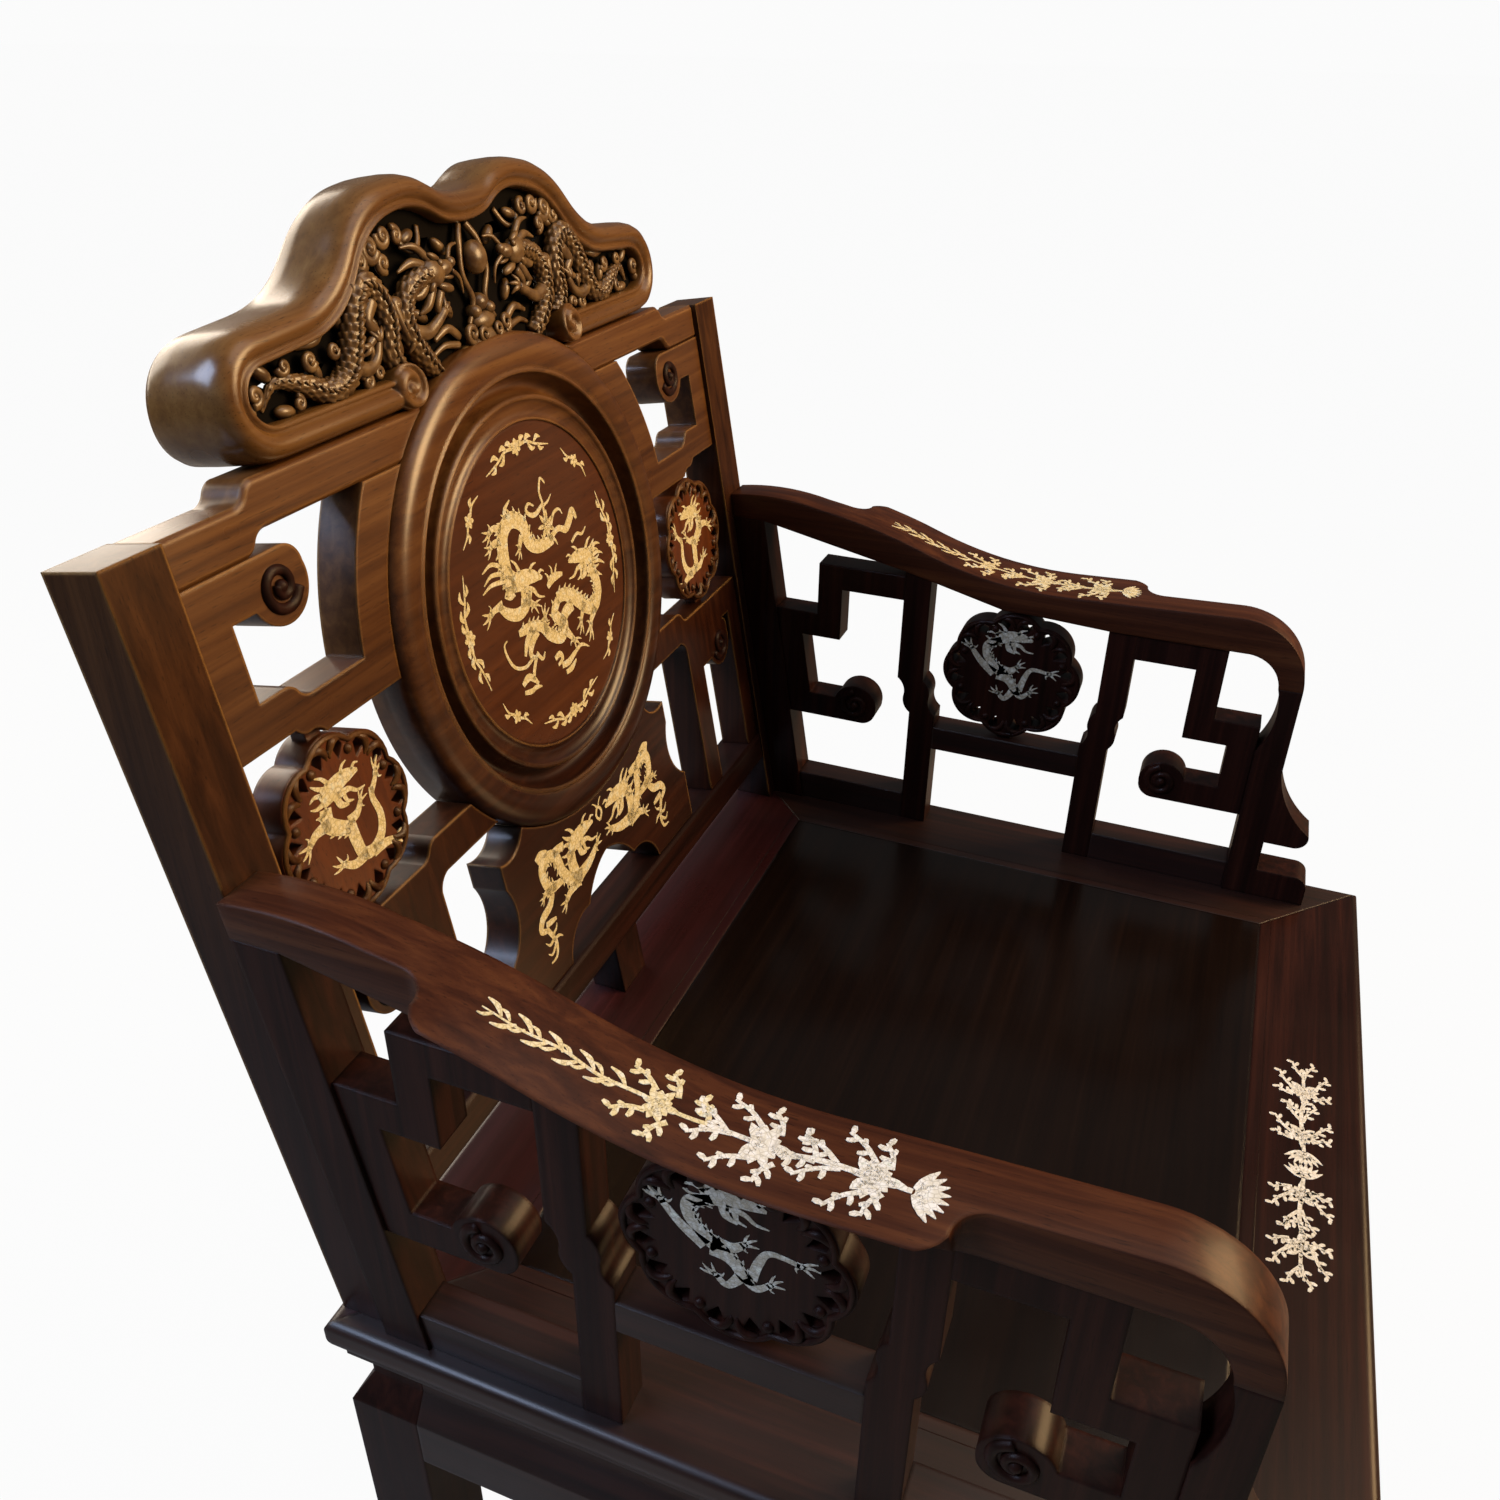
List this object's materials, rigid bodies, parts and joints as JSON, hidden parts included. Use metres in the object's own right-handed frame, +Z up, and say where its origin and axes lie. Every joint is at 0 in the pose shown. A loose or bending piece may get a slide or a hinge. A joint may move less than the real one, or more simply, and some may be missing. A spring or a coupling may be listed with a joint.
{
  "type": "chinese armchair",
  "caption": "Carved dark rosewood armchair with fret arms, a round panel in the reclined back, a pierced dragon crest and a flush framed seat.",
  "frame": {"origin": "on the floor, under the middle of the overall width and depth", "axes": "+Z up, -Y towards the front of the seat, +X towards the sitter's left hand"},
  "size_m": [0.654, 0.6028, 1.0097],
  "materials": {
    "rosewood_frame": "polished dark red-brown rosewood",
    "rosewood_panel": "rosewood panel polished to a gloss",
    "rosewood_carving": "carved and pierced rosewood, wax polished",
    "mother_of_pearl": "polished and engraved mother-of-pearl shell inlay"
  },
  "bodies": {
    "root": {"apron_front": "rosewood_frame", "apron_left": "rosewood_frame", "apron_rear": "rosewood_frame", "apron_right": "rosewood_frame", "arm_foot_rail_front_left": "rosewood_frame", "arm_foot_rail_front_right": "rosewood_frame", "arm_foot_rail_rear_left": "rosewood_frame", "arm_foot_rail_rear_right": "rosewood_frame", "arm_front_fret_left": "rosewood_frame", "arm_front_fret_right": "rosewood_frame", "arm_front_post_left": "rosewood_frame", "arm_front_post_right": "rosewood_frame", "arm_inner_post_front_left": "rosewood_frame", "arm_inner_post_front_right": "rosewood_frame", "arm_inner_post_rear_left": "rosewood_frame", "arm_inner_post_rear_right": "rosewood_frame", "arm_mid_rail_left": "rosewood_frame", "arm_mid_rail_right": "rosewood_frame", "arm_rail_left": "rosewood_frame", "arm_rail_right": "rosewood_frame", "arm_rear_fret_left": "rosewood_frame", "arm_rear_fret_right": "rosewood_frame", "arm_rear_post_left": "rosewood_frame", "arm_rear_post_right": "rosewood_frame", "arm_rosette_left": "rosewood_carving", "arm_rosette_right": "rosewood_carving", "back_bottom_rail": "rosewood_frame", "back_foot_block": "rosewood_frame", "back_rosette_left": "rosewood_carving", "back_rosette_right": "rosewood_carving", "back_stile_left": "rosewood_frame", "back_stile_right": "rosewood_frame", "back_top_rail_left": "rosewood_frame", "back_top_rail_right": "rosewood_frame", "crest_carving": "rosewood_carving", "crest_frame": "rosewood_frame", "leg_front_left": "rosewood_frame", "leg_front_right": "rosewood_frame", "leg_rear_left": "rosewood_frame", "leg_rear_right": "rosewood_frame", "lower_fret_left": "rosewood_frame", "lower_fret_right": "rosewood_frame", "medallion_moulding": "rosewood_frame", "medallion_panel": "rosewood_panel", "medallion_pedestal": "rosewood_frame", "medallion_ring": "rosewood_frame", "seat_batten_left": "rosewood_frame", "seat_batten_right": "rosewood_frame", "seat_panel": "rosewood_panel", "seat_rail_front": "rosewood_frame", "seat_rail_left": "rosewood_frame", "seat_rail_rear": "rosewood_frame", "seat_rail_right": "rosewood_frame", "stretcher_front": "rosewood_frame", "stretcher_left": "rosewood_frame", "stretcher_rear": "rosewood_frame", "stretcher_right": "rosewood_frame", "upper_fret_left": "rosewood_frame", "upper_fret_right": "rosewood_frame"}
  },
  "joints": []
}
